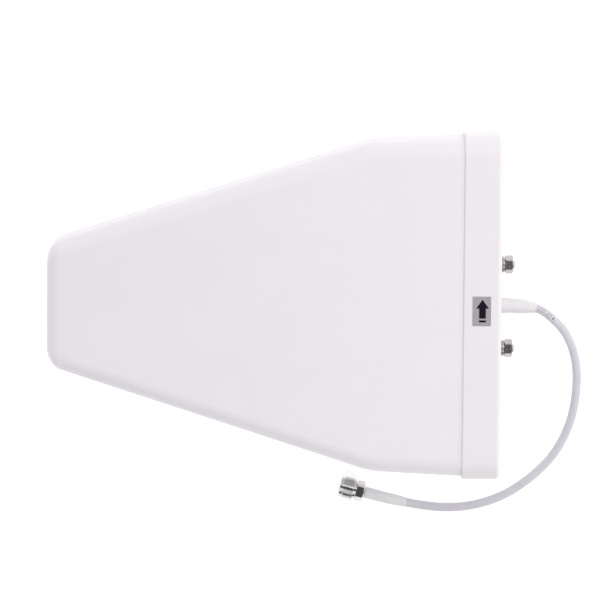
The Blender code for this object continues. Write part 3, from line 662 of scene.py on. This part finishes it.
def build_label():
    """A printed film with a plain arrow towards +Y and a bar under it."""
    low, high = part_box("polarity_label")
    film = slab(rounded_outline(low, high, 0, 0.3 * MM), low.z, high.z)
    add_piece("label_film", film, "label_grey", nodes=("polarity_label",))
    x = (low.x + high.x) / 2 + 0.55 * MM
    tip, neck, foot = high.y - 2 * MM, high.y - 8.2 * MM, high.y - 15.2 * MM
    head, shaft = 4.5 * MM, 2.35 * MM
    arrow = [(x, tip), (x - head, neck), (x - shaft, neck), (x - shaft, foot), (x + shaft, foot),
             (x + shaft, neck), (x + head, neck)]
    left, right, bar_top, bar_foot = x - 2.4 * MM, x + 2.4 * MM, foot - 1.2 * MM, foot - 2.7 * MM
    bar = [(left, bar_top), (left, bar_foot), (right, bar_foot), (right, bar_top)]
    print_foot, print_top = high.z - 0.02 * MM, high.z + 0.03 * MM
    shape = slab(arrow, print_foot, print_top)
    slab(bar, print_foot, print_top, shape)
    add_piece("label_arrow", shape, "label_grey", material="print_black")


def build_cap_screws():
    """Pan-headed screws with a cross recess; the profile is in millimetres from under the head."""
    profile = ((-15, 0.4), (-13, 1.45), (0, 1.45), (0, 2.7), (0.15, 3), (0.9, 3), (1.5, 2.75), (1.9, 2.1),
               (2.1, 1.2))
    for number in range(1, 5):
        low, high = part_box(f"cap_screw_{number}")
        head_x = high.x - SCREW_HEAD
        y, z = (low.y + high.y) / 2, (low.z + high.z) / 2
        shape = turned([(head_x + x * MM, r * MM) for x, r in profile], 40, False, y, z)
        cuts = []
        for wide_y in (True, False):
            loops = []
            for x, reach in ((head_x + 0.7 * MM, 0.8 * MM), (high.x + 0.4 * MM, 1.75 * MM)):
                a, b = (reach, 0.42 * MM) if wide_y else (0.42 * MM, reach)
                loops.append([Vector((x, y - a, z - b)), Vector((x, y + a, z - b)),
                              Vector((x, y + a, z + b)), Vector((x, y - a, z + b))])
            cuts.append(("DIFFERENCE", loft(loops)))
        add_piece(f"screw_{number}", shape, "steel", nodes=(f"cap_screw_{number}",), cuts=cuts)


# Studs


def build_stud_set(number):
    low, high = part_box(f"mount_stud_{number}")
    y = (low.y + high.y) / 2
    sides = 48
    head_end = low.x + STUD_HEAD
    thread_start = head_end + 1.5 * MM
    thread_end = high.x - 0.75 * MM
    loops = nut_outside(low.x, head_end, NUT_FLATS, NUT_FACE_R, sides, y, MID_Z, rear_chamfer=False)
    loops += [circle_loop(head_end, STUD_R, sides, y, MID_Z),
              circle_loop(thread_start - 0.5 * MM, STUD_R, sides, y, MID_Z)]
    loops += thread_loops(thread_start, thread_end, STUD_R, STUD_ROOT_R, STUD_PITCH, sides, y, MID_Z)
    loops += [circle_loop(high.x - 0.25 * MM, 2.55 * MM, sides, y, MID_Z),
              circle_loop(high.x, 2.2 * MM, sides, y, MID_Z)]
    add_piece(f"stud_{number}", loft(loops), "steel", nodes=(f"mount_stud_{number}",), sharp=40)

    low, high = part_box(f"flat_washer_{number}")
    section = ((low.x, WASHER_BORE_R), (low.x, WASHER_R), (high.x, WASHER_R), (high.x, WASHER_BORE_R))
    shape = turned(soften(section, 0.25 * MM), 72, True, y, MID_Z)
    add_piece(f"washer_{number}", shape, "nickel", nodes=(f"flat_washer_{number}",))

    low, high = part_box(f"spring_washer_{number}")
    shape = split_ring((low.x + high.x) / 2, y)
    add_piece(f"spring_ring_{number}", shape, "nickel", f"washer_{number}", (f"spring_washer_{number}",))

    low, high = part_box(f"hex_nut_{number}")
    sides = 72
    ease = 0.35 * MM
    loops = [circle_loop(low.x + ease, NUT_BORE_R, sides, y, MID_Z),
             circle_loop(low.x, NUT_BORE_R + ease, sides, y, MID_Z)]
    loops += nut_outside(low.x, high.x, NUT_FLATS, NUT_FACE_R, sides, y, MID_Z)
    loops += [circle_loop(high.x, NUT_BORE_R + ease, sides, y, MID_Z),
              circle_loop(high.x - ease, NUT_BORE_R, sides, y, MID_Z)]
    shape = loft(loops, ring=True)
    add_piece(f"nut_hex_{number}", shape, "nickel", f"nut_{number}", (f"hex_nut_{number}",), sharp=22)


def nut_outside(start, end, flats, face_r, sides, y=0.0, z=0.0, rear_chamfer=True):
    """Loops over a hexagon whose corners are cut back by a cone at its ends."""
    corner = flats / 2 / math.cos(math.pi / 6)
    length = (corner - face_r) * math.tan(math.pi / 6)
    steps = [i / 5 for i in range(6)]
    loops = [hex_loop(start + length * t, flats, sides, face_r + (corner - face_r) * t, y, z) for t in steps]
    if rear_chamfer:
        loops += [hex_loop(end - length * t, flats, sides, face_r + (corner - face_r) * t, y, z)
                  for t in reversed(steps)]
    else:
        loops.append(hex_loop(end, flats, sides, 1.0, y, z))
    return loops


def split_ring(x, y):
    """A spring washer: a square bar with eased edges, bent round the stud on a slight helix, with a slit."""
    half = 0.7 * MM
    corners = ((-half, WASHER_BORE_R), (-half, SPRING_R), (half, SPRING_R), (half, WASHER_BORE_R))
    section = soften(corners, 0.2 * MM, 2)
    rise = 0.09 * MM
    loops = []
    for i in range(61):
        angle = math.radians(10 + 340 * i / 60)
        across = Vector((0, math.cos(angle), math.sin(angle)))
        at = x + rise * (2 * i / 60 - 1)
        loops.append([Vector((at + side, y, MID_Z)) + across * r for side, r in section])
    return loft(loops)


# Lead


def make_lead_path():
    """Points every half millimetre from the cap's rear face to the socket, on the lead's centreline."""
    route = [Vector(point) * MM for point in BOOT_ROUTE + CABLE_ROUTE]
    path = along_curve(route, PATH_STEP * MM)
    boot_end = min(range(len(path)), key=lambda i: (path[i] - route[len(BOOT_ROUTE)]).length)
    return path, boot_end


def build_cable(path):
    points = path[::4]
    if (points[-1] - path[-1]).length > 0.1 * MM:
        points.append(path[-1])
    data = bpy.data.curves.new("lead_jacket", "CURVE")
    data.dimensions = "3D"
    data.bevel_depth = CABLE_R
    data.bevel_resolution = 10
    data.use_fill_caps = True
    spline = data.splines.new("POLY")
    spline.points.add(len(points) - 1)
    for spot, point in zip(spline.points, points):
        spot.co = (*point, 1)
    spline.use_smooth = True
    data.materials.append(MATERIALS["white_cable"])
    cable = bpy.data.objects.new("lead_jacket", data)
    bpy.context.collection.objects.link(cable)
    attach(cable, "antenna")
    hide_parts("pigtail_cable")
    return cable


def build_boot(path, boot_end):
    """The strain relief: a barrel that narrows to the cable over soft ribs, with a flange inside the cap."""
    outer = path[: boot_end + 1]
    widths = ((0, 5.6), (2, 5.55), (6, 5.2), (13, 5.1), (18, 4.85), (21, 4.35), (23, 3.95), (25.5, 3.72))
    radii = []
    for i in range(len(outer)):
        s = i * PATH_STEP
        radius = next(r0 + (r1 - r0) * (s - s0) / (s1 - s0) for (s0, r0), (s1, r1) in zip(widths, widths[1:])
                      if s <= s1)
        groove = math.cos(math.pi * (s - 18.6)) if s > 18.1 else -1
        radii.append((radius - 0.16 * (1 + groove)) * MM)
    inner_x = REAR_X - CAP_REAR_WALL - 0.3 * MM
    flange_x = inner_x - BOOT_FLANGE
    ease = 0.3 * MM
    eased_r = BOOT_FLANGE_R - ease
    neck = ((flange_x, eased_r), (flange_x + ease, BOOT_FLANGE_R), (inner_x - ease, BOOT_FLANGE_R),
            (inner_x, eased_r), (inner_x, BOOT_NECK_R), (REAR_X + 0.1 * MM, BOOT_NECK_R))
    barrel = swept_loops(outer, radii)
    loops = [turn_to_match(circle_loop(x, r, 40, 0, MID_Z), barrel[0]) for x, r in neck] + barrel
    loops += swept_loops(outer, [CABLE_R + 0.12 * MM] * len(outer))[::-1]
    return add_piece("strain_relief", loft(loops), "white_pvc", nodes=("cable_boot",), sharp=40)


def turn_to_match(loop, target):
    """The same circle, listed so that its points lie opposite the target's."""
    count = len(loop)
    centre = sum(target, Vector()) / count
    wanted = target[0] - centre
    middle = sum(loop, Vector()) / count
    first = max(range(count), key=lambda i: (loop[i] - middle).normalized().dot(wanted.normalized()))
    step = (target[1] - centre).cross(target[0] - centre).x
    own = (loop[1] - middle).cross(loop[0] - middle).x
    direction = 1 if step * own > 0 else -1
    return [loop[(first + direction * i) % count] for i in range(count)]


def build_shrink(path):
    """A shrunk sleeve over the ferrule and the end of the cable, slightly lumpy, thinning out on the cable."""
    near = path[-61:]
    outer, inner = [], []
    for i in range(len(near)):
        from_jack = (len(near) - 1 - i) * PATH_STEP
        radius = 4.04 - 0.1 * min(1, max(0, from_jack - 5.5) / 6)
        thinning = 0.55 * max(0, (from_jack - 18) / 12) ** 1.3
        lumps = 0.035 * math.sin(from_jack * 1.7) + 0.025 * math.sin(from_jack * 0.61 + 1)
        eased = 0.12 * max(0, 1 - i / 2) ** 2 + 0.15 * max(0, 1 - from_jack) ** 2
        outer.append((radius - thinning + lumps - eased) * MM)
        inner.append((3.13 if from_jack > 6.5 else 3.85) * MM)
    loops = swept_loops(near, outer) + swept_loops(near, inner)[::-1]
    return add_piece("shrink_sleeve", loft(loops, ring=True), "white_shrink", nodes=("heat_shrink",), sharp=50)


def build_print(path, boot_end):
    """Two rows of plain dashes printed along the jacket, next to the boot, closed by a dot."""
    dashes, dot = bmesh.new(), bmesh.new()
    marks = [(2 + 4 * i + row, 3 if (i + row) % 3 else 2, 112 - 36 * row, 9, dashes)
             for row in range(2) for i in range(6)]
    marks.append((27, 3, 97, 11, dot))
    for offset, length, middle, spread, target in marks:
        start = boot_end + offset
        loops = []
        for i, point in enumerate(path[start : start + length]):
            across, up = path_frame(path, start + i)
            angles = [math.radians(middle + spread * (2 * k / 6 - 1)) for k in range(7)]
            over = [(CABLE_R + 0.02 * MM, a) for a in angles]
            under = [(CABLE_R - 0.04 * MM, a) for a in reversed(angles)]
            loops.append([point + (across * math.cos(a) + up * math.sin(a)) * r for r, a in over + under])
        loft(loops, into=target)
    return [add_piece("jacket_dashes", dashes, "white_cable", material="print_grey"),
            add_piece("jacket_dot", dot, "white_cable", material="print_black")]


# Type N socket, in millimetres along its own axis from its open end


def build_jack():
    sides = 96
    rim_r, thread_r, root_r, neck_r, stem_r, bore_r = 7.2, 7.95, 7.3, 6.65, 4.9, 4.2
    front = ((0, bore_r + 0.7), (0, rim_r), (1.9, rim_r), (1.9, 6.9), (2.35, 6.9))
    rear = ((9.8, root_r), (9.8, neck_r), (11.5, neck_r), (11.5, stem_r), (17.5, stem_r), (17.5, 3.6),
            (9.3, 3.6), (9.3, bore_r), (0.7, bore_r))
    front = soften(front, 0.3, 4, closed=False)
    rear = soften(rear, 0.15, 3, closed=False)
    loops = [circle_loop(x * MM, r * MM, sides) for x, r in front]
    loops += thread_loops(2.6 * MM, 9.6 * MM, thread_r * MM, root_r * MM, 1.058 * MM, sides, crest=1 / 2)
    loops += [circle_loop(x * MM, r * MM, sides) for x, r in rear]
    shape = loft(loops, ring=True)
    shell = add_piece("socket_shell", shape, "chrome", nodes=("jack_shell",), jack=True, sharp=40)

    start, end = 11.8 * MM, 17.2 * MM
    bore = stem_r * MM + 0.2 * MM
    loops = [circle_loop(start, bore, sides)]
    loops += nut_outside(start, end, 12.7 * MM, 6.35 * MM, sides)
    loops.append(circle_loop(end, bore, sides))
    shape = loft(loops, ring=True)
    back_nut = add_piece("socket_hex", shape, "chrome", nodes=("jack_back_nut",), jack=True, sharp=22)

    insulator = soften(((9.5, 1.75), (9.5, 3.35), (16.5, 3.35), (16.5, 1.75)), 0.2)
    shape = turned([(x * MM, r * MM) for x, r in insulator], 48, True)
    insulator = add_piece("socket_insulator", shape, "ptfe", nodes=("jack_insulator",), jack=True)

    contact = soften(((5.1, 0.85), (5.1, 1.5), (17.7, 1.5), (17.7, 0.5), (9.6, 0.5), (9.6, 0.85)), 0.15)
    slots = bmesh.new()
    for half_y, half_z in ((2, 0.12), (0.12, 2)):
        corners = ((-half_y, -half_z), (half_y, -half_z), (half_y, half_z), (-half_y, half_z))
        loft([[Vector((x, y, z)) * MM for y, z in corners] for x in (4.5, 8.7)], into=slots)
    shape = turned([(x * MM, r * MM) for x, r in contact], 48, True)
    contact = add_piece("socket_contact", shape, "gold", nodes=("jack_contact",), jack=True,
                        cuts=(("DIFFERENCE", slots),))

    ferrule = soften(((18, 3.4), (18, 3.7), (24, 3.7), (24, 3.4)), 0.1)
    shape = turned([(x * MM, r * MM) for x, r in ferrule], 48, True)
    ferrule = add_piece("socket_ferrule", shape, "chrome", nodes=("crimp_ferrule",), jack=True)
    return [shell, back_nut, insulator, contact, ferrule]


def finish_carried_nodes():
    """The CAD nodes that stay get their procedural finish."""
    for part in frame["record"]["subparts"]:
        node = frame["nodes"][part["node"]]
        if not node.hide_render:
            node.material_slots[0].material = MATERIALS[part["material_slot"]]


bpy.context.scene.view_settings.view_transform = "Standard"
make_camera()
MATERIALS = make_materials()
lead_path, boot_last = make_lead_path()
lead = build_cable(lead_path)
boot = build_boot(lead_path, boot_last)
sleeve = build_shrink(lead_path)
marks = build_print(lead_path, boot_last)
socket_pieces = build_jack()

build_radome()
build_cap()
build_label()
build_cap_screws()
build_stud_set(1)
build_stud_set(2)
finish_carried_nodes()
make_world()
make_floor()
make_area_light("key", (0.62, 0.22, 1.0), 0.7, 3.8)
make_area_light("side", (1.4, 0.15, 0.5), 0.5, 0.6)
make_area_light("near", (0.7, -1.3, 0.4), 0.5, 0.9)
